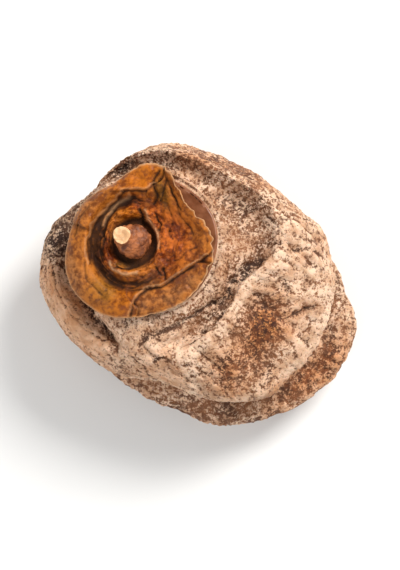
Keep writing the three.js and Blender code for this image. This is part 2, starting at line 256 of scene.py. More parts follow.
def row_normals(rows, top, bottom):
    """The outward direction at each point of rows that run from a top pole to a bottom pole."""
    above = np.concatenate([np.broadcast_to(top, rows[:1].shape), rows[:-1]])
    below = np.concatenate([rows[1:], np.broadcast_to(bottom, rows[:1].shape)])
    across = np.roll(rows, -1, axis=1) - np.roll(rows, 1, axis=1)
    n = np.cross(below - above, across)
    return n / np.maximum(np.linalg.norm(n, axis=-1, keepdims=True), 1e-9)


def spread(values, reach):
    """Values on the grid of rows and sides, averaged over a square of that reach."""
    total = values
    for axis, wrap in ((1, True), (0, False)):
        parts = []
        for k in range(-reach, reach + 1):
            moved = np.roll(total, k, axis=axis)
            if not wrap and k > 0:
                moved[:k] = total[:1]
            if not wrap and k < 0:
                moved[k:] = total[-1:]
            parts.append(moved)
        total = sum(parts) / len(parts)
    return total


# The crown's own frame: the middle of the collar's upper face, with +Z along the stalk
crown_turn = np.array(
    Matrix.Rotation(CROWN_TILT, 3, Vector((-math.sin(CROWN_LEANS_TO), math.cos(CROWN_LEANS_TO), 0)))
)


def from_crown(points):
    return points @ crown_turn.T + CROWN_PLACE


def on_crown(radius, turn, lift):
    radius, turn, lift = np.broadcast_arrays(radius, turn, lift)
    return wrapped(TAU * turn, radius, lift).astype(float)


def collar_lift(radius):
    return COLLAR_DISH * (radius / COLLAR_RADIUS) ** 2


# Flesh


def seat_lift(radius):
    return collar_lift(radius) - COLLAR_THICKNESS - GAP


def meridians(turn):
    """The ring points that every meridian runs through, as (rings, meridians, 3)."""
    seat = [
        (0, seat_lift(0)),
        (SEAT_RADIUS / 2, seat_lift(SEAT_RADIUS / 2)),
        (SEAT_RADIUS, seat_lift(SEAT_RADIUS)),
        (LIP_RADIUS, seat_lift(LIP_RADIUS) - 0.5),
    ]
    rings = [from_crown(on_crown(radius, turn, lift)) for radius, lift in seat]
    rings += [ring_points(ring, turn) for ring in FLESH_RINGS]
    rings.append(np.broadcast_to([*FLESH_CENTRE, SOLE_DEPTH], rings[0].shape))
    return np.stack(rings)


def on_flesh(degrees, ring):
    return through(meridians(np.array([degrees / 360])), np.array([ring]))[0, 0]


def pleat_tucks():
    for k in range(PLEATS):
        start = 360 / PLEATS * (k + 0.3 * draw(k + 1))
        sway = 9 * draw(k + 21)
        top = (8.5 if start > 225 or start < 20 else 7.8) + 0.4 * draw(k + 41)
        path = [
            (start, top),
            (start + sway * 0.7, (top + 9) / 2),
            (start + sway, 9),
            (start + sway * 0.5, 10),
        ]
        yield PLEAT_DEPTH * (1 + 0.4 * draw(k + 61)), PLEAT_WIDTH, path


def tuck_line(path):
    guide = []
    for degrees, ring in path:
        while guide and degrees - guide[-1][0] > 180:
            degrees -= 360
        while guide and degrees - guide[-1][0] < -180:
            degrees += 360
        guide.append((degrees, ring, 0))
    steps = np.linspace(0, len(guide) - 1, len(guide) * 6 + 1)
    guide = through(np.array(guide, float)[:, None, :], steps)[:, 0]
    return np.array([on_flesh(degrees, ring) for degrees, ring, _ in guide])


def distance_to(line, points):
    least = np.full(points.shape[:-1], np.inf)
    for a, b in zip(line[:-1], line[1:]):
        run = b - a
        t = np.clip((points - a) @ run / max(run @ run, 1e-9), 0, 1)
        least = np.minimum(least, np.linalg.norm(points - a - t[..., None] * run, axis=-1))
    return least


def plan_line(path):
    """A smooth line through points in plan."""
    points = np.array([(x, y, 0) for x, y in path], float)
    return through(points[:, None, :], np.linspace(0, len(path) - 1, 6 * len(path)))[:, 0]


def side_of(line, points):
    """1 where the nearest stretch of a line in plan has the point on its left, and -1 on its right."""
    least = np.full(points.shape[:-1], np.inf)
    side = np.ones(points.shape[:-1])
    for a, b in zip(line[:-1], line[1:]):
        run = b - a
        t = np.clip((points - a) @ run / max(run @ run, 1e-9), 0, 1)
        away = np.linalg.norm(points - a - t[..., None] * run, axis=-1)
        turned = run[0] * (points[..., 1] - a[1]) - run[1] * (points[..., 0] - a[0])
        side = np.where(away < least, np.sign(turned), side)
        least = np.minimum(least, away)
    return side


def oval(points, middle, widths, degrees):
    """1 in the middle of an oval in plan, and 0 well outside it."""
    a = math.radians(degrees)
    x, y = points[..., 0] - middle[0], points[..., 1] - middle[1]
    u = (x * math.cos(a) + y * math.sin(a)) / widths[0]
    v = (y * math.cos(a) - x * math.sin(a)) / widths[1]
    return np.exp(-(u * u + v * v))


def spot(points, middle, widths, degrees):
    """An oval on the upper side of the fruit only."""
    return oval(points, middle, widths, degrees) * smoothstep(points[..., 2], 4, 12)


def pressed_flat(height):
    soft = (height + SOLE_SOFTNESS) ** 2 / (4 * SOLE_SOFTNESS)
    return np.where(height <= -SOLE_SOFTNESS, 0, np.where(height >= SOLE_SOFTNESS, height, soft))


def row_places(counts):
    return np.array([ring + k / count for ring, count in enumerate(counts) for k in range(count)][1:])


def flesh_rows(sides, counts, detail):
    """The flesh as rows of points, with what its material needs at each point."""
    places = row_places(counts)
    turn = np.arange(sides) / sides
    rings = meridians(turn)
    base = through(rings, places)
    normals = row_normals(base, rings[0, 0], rings[-1, 0])
    share = smoothstep(places, LIP_RING, LIP_RING + 0.6)[:, None]
    rise, inside, lines = (np.zeros(base.shape[:2]) for _ in range(3))
    felt = base
    if detail:  # the creases wander a little
        felt = wander(base, 0.55, 3.5, 1)
    for depth, width, path in [*TUCKS, *pleat_tucks()]:
        away = distance_to(tuck_line(path), felt)
        rise -= depth * np.exp(-np.hypot(away, 0.12 if detail else 0.3) / width)
        inside = np.maximum(inside, min(1, (depth / 4) ** 2.5) * np.exp(-((away / (0.6 * width)) ** 1.5)))
    for height, reach, middle in [*SWELLS, *(LOBE_SWELLS if detail else [])]:
        away = np.linalg.norm(base - on_flesh(*middle), axis=-1)
        rise += height * bell(away, reach)
    if detail:
        folds, lines = fine_folds(base, places, turn, inside)
        rise += folds
    rows = base + normals * (rise * share)[..., None]
    if detail:
        rows += crown_turn[:, 2] * hem_of_flesh(base, places)[..., None]
        rows += grain_of_flesh(rows, rings, share)
    rows[..., 2] = pressed_flat(rows[..., 2])
    return rows, places, turn, inside, lines


FINE_TUCKS = [  # shallow creases too small for the solids
    (0.9, 0.5, [(336, 5.25), (334, 5.6), (331, 5.85)]),
    (0.8, 0.5, [(344, 5.6), (338, 5.75), (333, 5.7)]),
    (0.9, 0.6, [(298, 4.15), (304, 4.5), (306, 4.9)]),
    (0.8, 0.5, [(284, 4.4), (290, 4.9), (296, 5.4)]),
    (0.8, 0.6, [(268, 4.3), (272, 4.9), (280, 5.6)]),
    (0.7, 0.5, [(10, 4.6), (4, 5.0), (0, 5.5)]),
    (0.7, 0.5, [(22, 4.9), (19, 5.4), (12, 5.9)]),
    (0.8, 0.6, [(186, 4.9), (200, 5.2), (214, 5.15)]),
    (0.9, 0.7, [(68, 5.6), (84, 5.9), (100, 5.8)]),
    (0.9, 0.7, [(118, 5.7), (136, 6.1), (152, 5.9)]),
    (0.8, 0.6, [(350, 8.2), (332, 7.9), (316, 8.1)]),
    (0.8, 0.6, [(300, 8.3), (284, 8.0), (268, 8.3)]),
]


# Where the flesh is drawn into fine streaks: middle, half widths and turn of each oval in plan
FURRY = [
    ((5.5, 15.6), (9.5, 3.0), -38),
    ((13.0, 9.5), (2.5, 3.5), 10),
    ((-25.5, 9.0), (3.4, 6.5), -35),
    ((-13.5, 21.5), (5.0, 2.2), 35),
]

# Creases seen from above: depth, width, and a path in millimetres from the middle of the fruit
PLAN_CREASES = [
    (
        0.9,
        0.3,
        [
            *[(11.9, 5.7), (10.2, 4.6), (8.8, 3.5), (7.7, 1.9)],
            *[(6.2, 0.8), (5.4, -1.0), (4.6, -2.5), (2.9, -3.4)],
        ],
    ),
    (0.7, 0.35, [(3.8, -2.9), (1.1, -4.4), (-1.3, -6.0), (-3.4, -6.9)]),
    (0.7, 0.3, [(4.6, -3.6), (3.2, -5.6), (1.7, -7.9), (0.2, -9.7), (-1.3, -11.1)]),
    (0.5, 0.7, [(-3.2, -7.0), (-5.6, -8.2), (-8.6, -9.4), (-10.4, -11.2)]),
    (0.7, 0.3, [(17.4, -5.4), (19.6, -4.7), (22.4, -3.8)]),
    (0.35, 0.35, [(17.0, 4.2), (18.6, 2.8), (20.5, 3.6)]),
    (0.35, 0.35, [(15.2, 7.6), (17.3, 6.2), (20.9, 6.6), (23.5, 5.2)]),
    (0.35, 0.35, [(14.3, 1.8), (16.4, 0.4), (17.6, -1.6)]),
    (0.3, 0.3, [(18.2, 9.4), (20.4, 8.2), (22.2, 8.4)]),
    (0.4, 0.35, [(-26.4, 3.6), (-25.2, -1.6), (-21.6, -6.6), (-17.2, -10.4)]),
    (0.35, 0.35, [(-8.0, -14.4), (-5.6, -13.4), (-3.4, -15.0), (-0.6, -14.6)]),
    (0.35, 0.3, [(-12.2, -13.0), (-9.8, -15.2), (-8.6, -17.6)]),
    (0.35, 0.3, [(-1.8, -17.4), (1.2, -16.2), (3.6, -17.8)]),
    (0.3, 0.3, [(3.8, -12.8), (5.2, -15.6), (4.6, -18.2)]),
    (0.3, 0.3, [(15.4, -9.4), (17.8, -11.2), (18.4, -13.6)]),
]


def fine_folds(base, places, turn, inside):
    """Wrinkles of a millimetre or two: runs down the slope, cross folds, lumps and small creases."""
    angle = TAU * turn[None, :] + 0.12 * cloud(base, 9, 5)
    down = places[:, None] * np.ones_like(angle)
    across = wrapped(angle, 11, 0.9 * down)
    finer = wrapped(angle, 22, 1.6 * down)
    along = wrapped(angle, 3, 7 * down)
    upper = smoothstep(down, 3.6, 4.4) * (1 - smoothstep(down, 5.8, 6.6))
    side = smoothstep(down, 5.8, 6.6) * (1 - smoothstep(down, 9.2, 10))
    patch = 0.5 + 0.5 * cloud(base, 11, 8)
    streaks = wrapped(angle, 30, 1.4 * down)
    furry = np.clip(sum(spot(base, *where) for where in FURRY), 0, 1)
    folds = 0.5 * cloud(base, 6.5, 4)
    folds -= 0.35 * furry * (1 - crease(streaks, 1, 9))
    folds -= (0.34 * upper + 0.42 * side) * patch * (1 - crease(across, 1, 1))
    folds -= (0.2 * upper + 0.22 * side) * (1 - crease(finer, 1, 2))
    folds -= (0.14 * upper + 0.34 * side) * (1 - patch) * (1 - crease(along, 1, 3))
    folds *= 1 - 0.6 * inside
    felt = wander(base, 0.5, 2.5, 11)
    for depth, width, path in FINE_TUCKS:
        folds -= depth * np.exp(-distance_to(tuck_line(path), felt) / width)
    felt = wander(base, 0.25, 1.3, 14)
    felt[..., 2] = 0
    above = smoothstep(base[..., 2], 12, 16)
    # lines marks a painted dark line of shade along the bottom of each crease
    lines = np.zeros_like(folds)
    for depth, width, path in PLAN_CREASES:
        away = distance_to(plan_line(path), felt)
        folds -= depth * above * np.exp(-away / width)
        lines = np.maximum(lines, min(1, 1.3 * depth) * above * bell(away, 0.8 * width))
    return folds, lines


def grain_of_flesh(rows, rings, share):
    """Bumps of the dried pulp, half a millimetre to two across."""
    normals = row_normals(rows, rings[0, 0], rings[-1, 0])
    bumps = 0.11 * cloud(rows, 1.5, 21) + 0.07 * cloud(rows, 0.75, 22, 1)
    return normals * (bumps * share)[..., None]


def hem_of_flesh(base, places):
    """How far the flesh swells up round the edge of the collar."""
    hem = smoothstep(places, 2.7, 3.15) * (1 - smoothstep(places, 3.2, 4))
    return hem[:, None] * (0.4 + 0.3 * cloud(base, 4, 17))


def closed_skin(name, rows, first_pole, last_pole, shift):
    """A mesh from rows of points in millimetres that run from one pole to the other."""
    count, sides = rows.shape[:2]
    points = np.concatenate([[first_pole], rows.reshape(-1, 3), [last_pole]])
    points = (points + shift) * MM
    at = 1 + np.arange(count * sides).reshape(count, sides)
    nxt = np.roll(at, -1, axis=1)
    quads = np.stack([at[:-1], at[1:], nxt[1:], nxt[:-1]], axis=-1).reshape(-1, 4)
    cap = np.stack([np.zeros(sides, int), at[0], nxt[0]], axis=-1)
    end = np.stack([at[-1], np.full(sides, len(points) - 1), nxt[-1]], axis=-1)
    mesh = bpy.data.meshes.new(name)
    mesh.from_pydata(points.tolist(), [], [*cap.tolist(), *quads.tolist(), *end.tolist()])
    mesh.polygons.foreach_set("use_smooth", [True] * len(mesh.polygons))
    piece = bpy.data.objects.new(name, mesh)
    bpy.context.collection.objects.link(piece)
    return piece


def remember(piece, name, values, poles=(0, 0)):
    """Keeps a value or a vector at each point for the material to read."""
    flat = np.asarray(values, float)
    vector = flat.ndim == 3
    width = flat.shape[-1] if vector else 1
    body = flat.reshape(-1, width)
    ends = np.broadcast_to(np.reshape(poles, (2, 1)), (2, width))
    full = np.concatenate([ends[:1], body, ends[1:]])
    kind = "FLOAT_VECTOR" if vector else "FLOAT"
    kept = piece.data.attributes.new(name, kind, "POINT")
    kept.data.foreach_set("vector" if vector else "value", full.ravel())


# The solid's own shape, without detail, says where its origin lies.
plain = flesh_rows(*SOLID_GRID, detail=False)[0]
low = np.array(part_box("flesh")[0]) / MM
shift = np.append(low[:2] - plain.reshape(-1, 3).min(axis=0)[:2], 0)

rows, places, turn, inside, lines = flesh_rows(*FINE_GRID, detail=True)
flesh = closed_skin("dried_flesh", rows, from_crown(np.array([0, 0, seat_lift(0)])), (0, 0, 0), shift)

# Where the sugar bloom lies thick, and where the flesh shows through. Each spot is a place in plan, in
# millimetres from the middle of the fruit, its two half widths, its turn in degrees, how much bloom it
# adds, and how orange the flesh is there.
# A few spots thin or thicken the bloom to paint shade or light, as marked
BLOOM_SPOTS = [
    ((12.0, -7.4), (3.4, 5.4), -18, -1.5, 1.2),  # dent in the big lobe
    ((6.0, -15.8), (4.2, 4.4), -30, -0.2, 1),  # its lower end
    ((5.5, 15.8), (9.5, 2.4), -38, 0.1, 0),  # hollow above and right of the crown
    ((13.2, 9.6), (2.2, 3.0), 10, -0.35, 0),  # foot of that hollow
    ((2.0, 23.0), (9.0, 1.6), -22, -0.3, 0.5),
    ((8.6, 21.0), (5.0, 1.8), -30, -0.35, 0),
    ((8.6, 7.4), (3.4, 3.2), 0, 0.15, 0),  # pale flesh right of the collar
    ((-25.5, 8.5), (3.4, 6.5), -35, -0.7, 0),  # painted shade on the slope left of the calyx
    ((-13.5, 21.0), (3.6, 1.8), 35, -0.8, 0),  # painted shadow in the gap above the calyx
    ((19.0, -0.5), (7.0, 8.0), 0, 0.25, 0),  # pale shoulder at the right
    ((15.5, 8.0), (3.0, 7.0), 25, 0.3, 0),
    ((9.5, -1.5), (5.0, 2.5), 35, 0.7, 0),  # pale edge of the crease
    ((19.0, -14.5), (2.2, 8.0), -38, 0.45, 0),  # pale rim of the big lobe
    ((-3.0, -10.5), (9.0, 2.4), -8, 0.6, 0),  # pale flesh below the calyx
    ((-4.5, -16.0), (9.0, 4.0), -25, 0.6, 0),
    ((-8.4, -9.6), (2.4, 1.2), -15, -0.6, 0),  # brown patches there
    ((-2.4, -6.4), (3.2, 1.2), 28, -0.6, 0),
    ((-5.5, -13.4), (3.0, 1.2), 0, -0.45, 0),
    ((-24.0, -3.0), (2.7, 7.5), 32, 1.5, 0.7),  # top of the left roll, its bloom raised as painted light
    ((-19.5, -9.5), (4.5, 1.6), -45, 0.6, 0),
    ((20.5, -17.5), (10.0, 2.6), 42, -0.5, 0.7),  # lower layer
    ((2.0, -23.6), (12.0, 2.4), -14, -0.65, 0),
]
SHADOWS = [  # painted shadows: place, half widths, turn and share
    ((-13.4, 21.2), (2.6, 1.3), 30, 1),
    ((-26.0, 8.5), (3.0, 6.0), -30, 1),
    ((12.0, -6.8), (2.2, 3.4), -18, 0.4),
]
# Bloom everywhere, how cloudy it is, and what hollows, tucks and creases take away from it. The bare
# flesh shows in hollows; what tucks and creases take is partly painted shade along them.
BLOOM = 0.36
BLOOM_CLOUDS = 0.26
FINE_HOLLOWS_TAKE = 2.6
BROAD_HOLLOWS_TAKE = 0.35
TUCKS_TAKE = 0.6
CREASES_TAKE = 1.5
BLOOM_RANGE = -0.6, 1.3

base_normals = row_normals(rows, rows[0, 0], rows[-1, 0])
hollow_fine = np.sum((spread(rows, 2) - rows) * base_normals, axis=-1)
hollow_broad = np.sum((spread(rows, 7) - rows) * base_normals, axis=-1)
bloom = BLOOM + BLOOM_CLOUDS * cloud(rows, 6, 31)
bloom -= FINE_HOLLOWS_TAKE * hollow_fine + BROAD_HOLLOWS_TAKE * hollow_broad
bloom -= TUCKS_TAKE * inside + CREASES_TAKE * lines
# Painted shade: less bloom under the overhanging shoulder. Painted highlight: more bloom along its edge
front = around(FRONT, turn)[None, :]
bloom -= 0.5 * front * smoothstep(places, 6.2, 6.5)[:, None] * (1 - smoothstep(places, 7.2, 7.7)[:, None])
bloom += 0.35 * front * bell(places - 5.95, 0.22)[:, None]
warm = 0.4 * cloud(rows, 9, 41)
for middle, widths, degrees, adds, warmth in BLOOM_SPOTS:
    share = spot(rows, middle, widths, degrees)
    bloom += adds * share
    warm += warmth * share
seam = bell(places - LIP_RING, 0.28)[:, None]
bloom = np.maximum(bloom, 0.85 * seam - 0.1)
# Painted shade: the bare pulp is darkened in tucks, along crease lines, in broad hollows and at the spots
# above, but not along the edge of the collar
shadowed = 0.7 * inside + lines + 0.5 * np.maximum(hollow_broad, 0)
shadowed += sum(share * spot(rows, *where) for *where, share in SHADOWS)
round_crown = np.arctan2(rows[..., 1] - CROWN_CENTRE[1], rows[..., 0] - CROWN_CENTRE[0])
from_middle = np.hypot(rows[..., 0] - CROWN_CENTRE[0], rows[..., 1] - CROWN_CENTRE[1])
remember(flesh, "bloom", np.clip(bloom, *BLOOM_RANGE), (0, 0.3))
# The inside attribute carries this painted shade to the material
remember(flesh, "inside", np.clip(shadowed * (1 - seam), 0, 1))
remember(flesh, "flow", wrapped(round_crown, 20, from_middle / 3 + rows[..., 2] / 3))
remember(flesh, "warm", np.clip(warm, 0, 1))

# Collar of peel
COLLAR_SIDES = 300


def collar_rows():
    turn = np.arange(COLLAR_SIDES) / COLLAR_SIDES
    wave = 1 + 0.012 * np.sin(TAU * 3 * turn + 1) + 0.01 * np.sin(TAU * 5 * turn)
    edge = COLLAR_THICKNESS * 0.35
    shares = [*np.linspace(0.1, 0.95, 34), 0.975, 1]
    rows = []

    def row(share, drop, inset):
        radius = (COLLAR_RADIUS * wave - 0.3) * share - inset
        rows.append(on_crown(radius, turn, collar_lift(radius) - drop))

    for share in shares:
        row(share, 0, edge if share == 1 else 0)
    row(1, edge * 0.4, edge * 0.4)
    row(1, edge, 0)
    row(1, COLLAR_THICKNESS - edge, 0)
    for share in (1, 0.9, 0.5, 0.1):
        row(share, COLLAR_THICKNESS, edge if share == 1 else 0)
    rows = np.stack(rows)
    top = len(shares)
    puckers = 0.1 * cloud(rows[:top], 2.2, 51) - 0.1 * (1 - crease(rows[:top] * (0.25, 1, 1), 1.4, 52))
    fade = smoothstep(np.linalg.norm(rows[:top, :, :2], axis=-1), 13.1, 11.8)
    rows[:top, :, 2] -= np.maximum(0, -puckers) * fade
    return rows


rows = collar_rows()
ends = np.array([[0, 0, 0], [0, 0, -COLLAR_THICKNESS]], float)
collar = closed_skin("peel_collar", from_crown(rows), *from_crown(ends), shift)

# Calyx: every 30 degrees, and every 15 degrees at its rim
CALYX_RINGS = [
    {  # groove round the stalk
        "centre": STALK_PLACE,
        "radius": [3.5, 3.5, 3.7, 3.8, 3.8, 3.8, 3.8, 3.8, 3.8, 3.8, 3.7, 3.6],
        "height": [1.25] * 12,
    },
    {  # inner ridge
        "centre": STALK_PLACE,
        "radius": [4.7, 4.7, 5.3, 5.6, 5.7, 5.7, 5.5, 5.7, 5.7, 5.7, 5.2, 4.9],
        "height": [2.9, 3.1, 2.6, 3.3, 3.2, 2.5, 2.2, 3.0, 3.3, 2.7, 2.4, 2.8],
    },
    {  # ditch inside the sepals
        "centre": STALK_PLACE,
        "radius": [7.6, 7.4, 7.4, 7.6, 7.8, 7.8, 7.9, 8.0, 8.0, 7.8, 7.4, 7.4],
        "height": [3.1, 3.3, 2.8, 1.7, 1.3, 1.25, 1.25, 1.3, 1.4, 1.6, 2.1, 2.6],
    },
    {  # inner wall of the sepals
        "centre": STALK_PLACE,
        "radius": [11, 9.6, 10.2, 10, 9.3, 9.1, 9.2, 9.6, 10, 10, 10.2, 10.8],
        "height": [4.4, 4.9, 4.3, 3.8, 3.8, 3.8, 3.7, 3.5, 3.0, 2.7, 2.9, 3.6],
    },
    {  # crest of the sepals
        "centre": (0, 0),
        "radius": [11.2, 9.4, 10.8, 12.3, 11.6, 12.6, 13.2, 14.2, 13.4, 11.7, 11.4, 11.5],
        "height": [5.2, 5.9, 5.4, 4.3, 4.0, 3.8, 3.6, 3.4, 3.0, 2.8, 3.0, 4.0],
    },
    {  # rim
        "centre": (0, 0),
        "radius": [
            *[12.5, 11.5, 10.3, 10.3, 11.6, 13.8, 14.4, 13.1, 12.4, 13.1, 13.9, 14.3],
            *[14.8, 15.7, 16.1, 15.8, 15.2, 14.2, 13.2, 12.8, 12.8, 12.8, 12.8, 12.8],
        ],
        "height": [
            *[5.6, 6.2, 6.6, 6.4, 6.0, 5.4, 4.4, 3.6, 3.1, 2.9, 2.7, 2.5],
            *[2.3, 2.1, 2.0, 1.9, 1.9, 1.9, 2.0, 2.2, 2.6, 3.2, 4.0, 4.9],
        ],
    },
]
CALYX_RIM = len(CALYX_RINGS)
CALYX_SIDES = 360
CALYX_ROWS = [1, 14, 12, 14, 16, 20]
SEPAL_EDGES = [75, 165, 262, 340]
SEPAL_STEP = 1.1
RIM_THICKNESS = 0.4


# Folds and thin ridges of the calyx: depth, width, how dark they are, and a path over it from its middle.
# The darkness is painted shade in the fold. A ridge has a depth below zero, and a painted highlight along
# it.
CALYX_FOLDS = [
    (0.7, 0.35, 0.65, [(3.2, 13.4), (4.0, 11.3), (5.0, 8.8), (5.9, 7.1), (6.7, 5.6)]),
    (0.8, 0.45, 0.7, [(2.3, 12.8), (1.4, 10.3), (1.8, 8.4), (1.4, 7.1)]),
    (0.4, 0.3, 0.5, [(4.0, 11.3), (3.3, 9.4), (2.5, 7.5)]),
    (-0.5, 0.3, -0.6, [(-0.4, 5.7), (0.3, 4.1), (1.5, 2.4), (2.2, 0.8), (2.0, -1.0)]),
    (0.8, 0.4, 0.9, [(1.5, 4.6), (2.6, 3.5), (2.3, 2.1)]),
    (0.45, 0.35, 0.5, [(6.0, 6.2), (6.6, 4.5), (7.9, 3.0), (8.7, 1.1)]),
    (0.35, 0.3, 0.4, [(4.4, 5.6), (4.8, 3.6), (4.2, 1.9), (4.9, 0.6)]),
    (0.35, 0.3, 0.4, [(9.4, -1.0), (7.2, -2.2), (5.6, -3.4), (3.6, -3.4)]),
    (0.9, 0.45, 1.0, [(-1.5, 6.0), (-0.9, 4.4), (-0.6, 2.6)]),
    (0.6, 0.45, 1.0, [(-2.6, 8.3), (-4.0, 7.7), (-5.5, 7.0), (-6.8, 5.8), (-7.7, 3.9), (-8.1, 2.0)]),
    (0.4, 0.45, 0.8, [(-8.1, 2.0), (-8.1, 0.2), (-8.3, -1.4), (-7.9, -2.9)]),
    (-0.3, 0.3, -0.4, [(-3.3, 8.7), (-4.6, 7.9), (-5.8, 7.3), (-7.1, 6.0), (-8.0, 4.6), (-8.4, 3.3)]),
    (0.5, 0.3, 0.9, [(-5.6, -4.6), (-4.0, -4.9), (-2.9, -4.5), (-1.8, -4.1)]),
    (-0.4, 0.3, -0.7, [(-6.7, -3.4), (-5.9, -5.0), (-4.2, -5.8), (-1.7, -5.4)]),
    (0.45, 0.25, 0.8, [(1.9, -4.7), (2.6, -5.8)]),
    (0.45, 0.25, 0.8, [(3.0, -4.7), (3.6, -6.6)]),
    (0.3, 0.3, 0.5, [(-10.4, 6.7), (-12.2, 4.4), (-13.2, 1.2)]),
    (0.3, 0.3, 0.4, [(-11.4, -3.6), (-10.6, -7.0), (-8.2, -9.4)]),
]
# Edges that lie over the next sepal: lift, how far it fades, and a path with the raised side on its left
CALYX_LAPS = [
    (0.9, 3.0, [(0.3, -8.3), (2.3, -8.1), (4.6, -6.8), (6.9, -5.5), (8.8, -4.3), (11.4, -2.8)]),
    (0.5, 2.5, [(-3.2, -13.9), (-2.4, -11.6), (-1.6, -9.9), (0.1, -8.3)]),
    (0.7, 1.8, [(-4.3, 9.4), (-1.8, 9.5), (0.3, 9.6), (1.6, 10.6)]),
    (0.35, 1.8, [(-10.6, -3.6), (-10.9, -1.0), (-10.5, 1.4), (-9.4, 3.9), (-7.1, 6.7), (-4.4, 9.2)]),
]
CALYX_LUMPS = [  # height, reach and place
    (0.6, 1.4, (-3.2, 4.8)),
    (0.5, 1.0, (-2.4, 7.6)),
    (0.4, 1.3, (4.6, 0.4)),
    (0.4, 1.2, (6.4, -1.4)),
    (-0.4, 1.4, (7.6, 1.6)),
    (0.4, 1.0, (-5.0, -3.4)),
]
# Tints: place, half widths and turn of each oval
CALYX_TINTS = {
    "gold": [
        ((-0.9, 11.7), (3.6, 1.7), 25),
        ((-4.3, -9.3), (2.6, 4.4), -15),
        ((-3.4, 4.9), (1.7, 1.0), 30),
    ],
    "olive": [
        ((2.9, 9.2), (1.2, 3.0), 8),
        ((-4.0, -3.8), (2.2, 0.6), 0),
        ((-7.6, -8.6), (2.0, 3.0), 40),
    ],
    "red": [
        ((4.4, 0.6), (4.2, 6.4), 5),
        ((1.9, 4.6), (1.6, 2.4), 0),
        ((-2.4, 7.5), (1.7, 1.0), 0),
        ((-7.0, -1.5), (1.6, 3.5), 0),
    ],
    "tan": [
        ((6.0, -9.0), (5.0, 1.5), 32),
        ((-0.7, -10.8), (1.3, 2.2), -20),
        ((1.0, -7.4), (1.2, 0.8), 0),
        ((-13.4, -5.0), (1.5, 5.0), 15),
        ((-11.8, 6.5), (1.5, 4.0), -35),
    ],
}


def sepal_step(turn):
    degrees = np.mod(turn * 360, 360)
    edges = np.array([SEPAL_EDGES[-1] - 360, *SEPAL_EDGES, SEPAL_EDGES[0] + 360])
    k = np.searchsorted(edges, degrees, side="right") - 1
    return (degrees - edges[k]) / (edges[k + 1] - edges[k]) - 0.5


